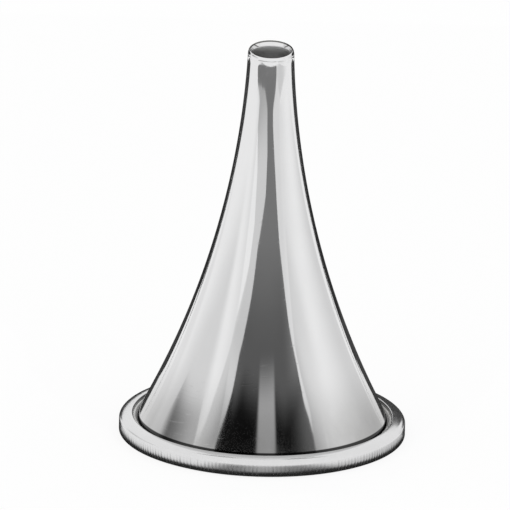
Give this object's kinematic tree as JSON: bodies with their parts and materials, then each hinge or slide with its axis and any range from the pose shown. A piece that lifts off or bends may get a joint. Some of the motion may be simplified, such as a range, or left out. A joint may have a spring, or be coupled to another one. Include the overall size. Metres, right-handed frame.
{
  "type": "ear speculum",
  "caption": "Trumpet-shaped metal ear speculum: a spun funnel with a narrow, rounded and slightly slanted tip, standing on a milled finger ring soldered round its flanged mouth.",
  "frame": {"origin": "centre of the plane that the mouth stands on", "axes": "+Z along the funnel's axis, from the wide mouth up to the narrow tip; -Y is the side that the picture shows and the one on which the tip's slanted cut is lowest, and +X is to the right from there"},
  "size_m": [0.0268, 0.0268, 0.038],
  "materials": {
    "polished_plate": "nickel plated brass, polished outside",
    "satin_plate": "nickel plated brass, satin, finely milled on its outer edge",
    "solder": "soft solder under the plating, dull"
  },
  "bodies": {
    "root": {"funnel": "polished_plate", "rim_ring": "satin_plate", "solder_fillet": "solder", "solder_seam": "solder"}
  },
  "joints": []
}
